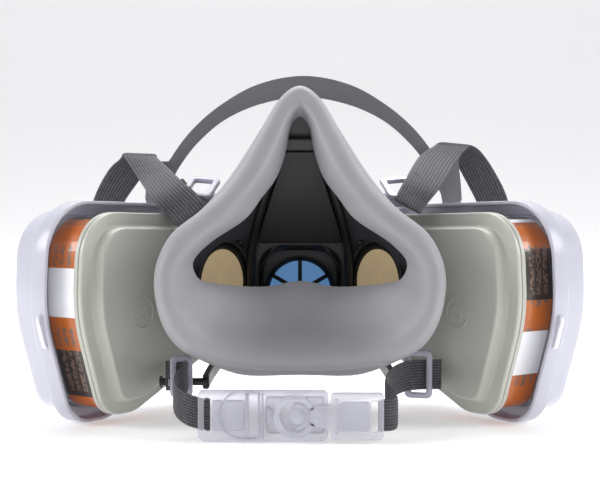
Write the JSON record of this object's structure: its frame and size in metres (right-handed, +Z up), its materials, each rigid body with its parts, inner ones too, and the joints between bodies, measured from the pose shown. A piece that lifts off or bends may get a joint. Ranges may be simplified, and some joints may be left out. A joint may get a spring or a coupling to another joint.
{
  "type": "half-face respirator mask",
  "caption": "Half-face painter's respirator with two twist-on cartridges, press-fit filter retainers, valves, head harness and neck strap with a clasp.",
  "frame": {"origin": "centre of the bounding box's bottom, on the surface that the mask stands on", "axes": "+Y points out of the mask, away from the face; +X runs across it; +Z is up when the mask stands on its filter retainers"},
  "size_m": [0.227, 0.1224, 0.146],
  "materials": {
    "elastomer": "matte moulded thermoplastic elastomer",
    "black_plastic": "fine satin moulded nylon",
    "case_plastic": "satin moulded polystyrene",
    "clear_plastic": "clear moulded polypropylene, slightly milky",
    "cradle_plastic": "satin flexible plastic",
    "webbing": "ribbed knitted elastic",
    "label_film": "printed film in coloured blocks",
    "blue_rubber": "smooth silicone",
    "amber_rubber": "smooth natural rubber",
    "felt": "white needled felt",
    "carbon": "packed charcoal granules",
    "gasket_rubber": "matte rubber"
  },
  "bodies": {
    "root": {"face_seal": "elastomer", "inner_frame": "black_plastic", "front_yoke": "black_plastic", "exhalation_seat": "black_plastic", "bayonet_port_left": "black_plastic", "bayonet_port_right": "black_plastic", "port_gasket_left": "gasket_rubber", "port_gasket_right": "gasket_rubber"},
    "exhalation_valve": {"exhalation_valve": "blue_rubber"},
    "inhalation_valve_left": {"inhalation_valve_left": "amber_rubber"},
    "inhalation_valve_right": {"inhalation_valve_right": "amber_rubber"},
    "head_harness": {"crown_cradle": "cradle_plastic", "upper_buckle_left": "clear_plastic", "upper_buckle_right": "clear_plastic", "upper_strap_left": "webbing", "upper_strap_right": "webbing"},
    "neck_strap": {"neck_slider_left": "clear_plastic", "neck_slider_right": "clear_plastic", "neck_strap_left": "webbing", "neck_strap_right": "webbing", "clasp_plate": "clear_plastic"},
    "clasp_hook": {"clasp_hook": "clear_plastic"},
    "cartridge_left": {"cartridge_back_left": "case_plastic", "cartridge_tub_left": "case_plastic", "cartridge_label_left": "label_film", "carbon_bed_left": "carbon", "cartridge_grille_left": "case_plastic", "socket_ring_left": "black_plastic"},
    "retainer_left": {"filter_retainer_left": "clear_plastic", "prefilter_pad_left": "felt"},
    "cartridge_right": {"cartridge_back_right": "case_plastic", "cartridge_tub_right": "case_plastic", "cartridge_label_right": "label_film", "carbon_bed_right": "carbon", "cartridge_grille_right": "case_plastic", "socket_ring_right": "black_plastic"},
    "retainer_right": {"filter_retainer_right": "clear_plastic", "prefilter_pad_right": "felt"}
  },
  "joints": [
    {"name": "exhalation_valve_lift", "type": "slide", "parent": "root", "child": "exhalation_valve", "axis": [0, 1, 0], "range_m": [0, 0.002], "stiffness_N_per_m": 4},
    {"name": "inhalation_valve_left_lift", "type": "slide", "parent": "root", "child": "inhalation_valve_left", "axis": [0.8192, -0.5736, 0], "range_m": [0, 0.0015], "stiffness_N_per_m": 4},
    {"name": "cartridge_left_twist", "type": "hinge", "parent": "root", "child": "cartridge_left", "pos_m": [-0.041, 0.0105, 0.055], "axis": [0.8192, -0.5736, 0], "range_deg": [0, 20]},
    {"name": "retainer_left_snap", "type": "slide", "parent": "cartridge_left", "child": "retainer_left", "axis": [-0.8192, 0.5736, 0], "range_m": [0, 0.006]},
    {"name": "inhalation_valve_right_lift", "type": "slide", "parent": "root", "child": "inhalation_valve_right", "axis": [-0.8192, -0.5736, 0], "range_m": [0, 0.0015], "stiffness_N_per_m": 4},
    {"name": "cartridge_right_twist", "type": "hinge", "parent": "root", "child": "cartridge_right", "pos_m": [0.041, 0.0105, 0.055], "axis": [0.8192, 0.5736, 0], "range_deg": [0, 20]},
    {"name": "retainer_right_snap", "type": "slide", "parent": "cartridge_right", "child": "retainer_right", "axis": [0.8192, 0.5736, 0], "range_m": [0, 0.006]},
    {"name": "head_harness_swing", "type": "hinge", "parent": "root", "child": "head_harness", "pos_m": [0, -0.0005, 0.0895], "axis": [1, 0, 0], "range_deg": [0, 70]},
    {"name": "neck_strap_swing", "type": "hinge", "parent": "root", "child": "neck_strap", "pos_m": [0, -0.0195, 0.017], "axis": [-1, 0, 0], "range_deg": [0, 15]},
    {"name": "clasp_unhook", "type": "slide", "parent": "neck_strap", "child": "clasp_hook", "axis": [0, -1, 0], "range_m": [0, 0.005]}
  ]
}
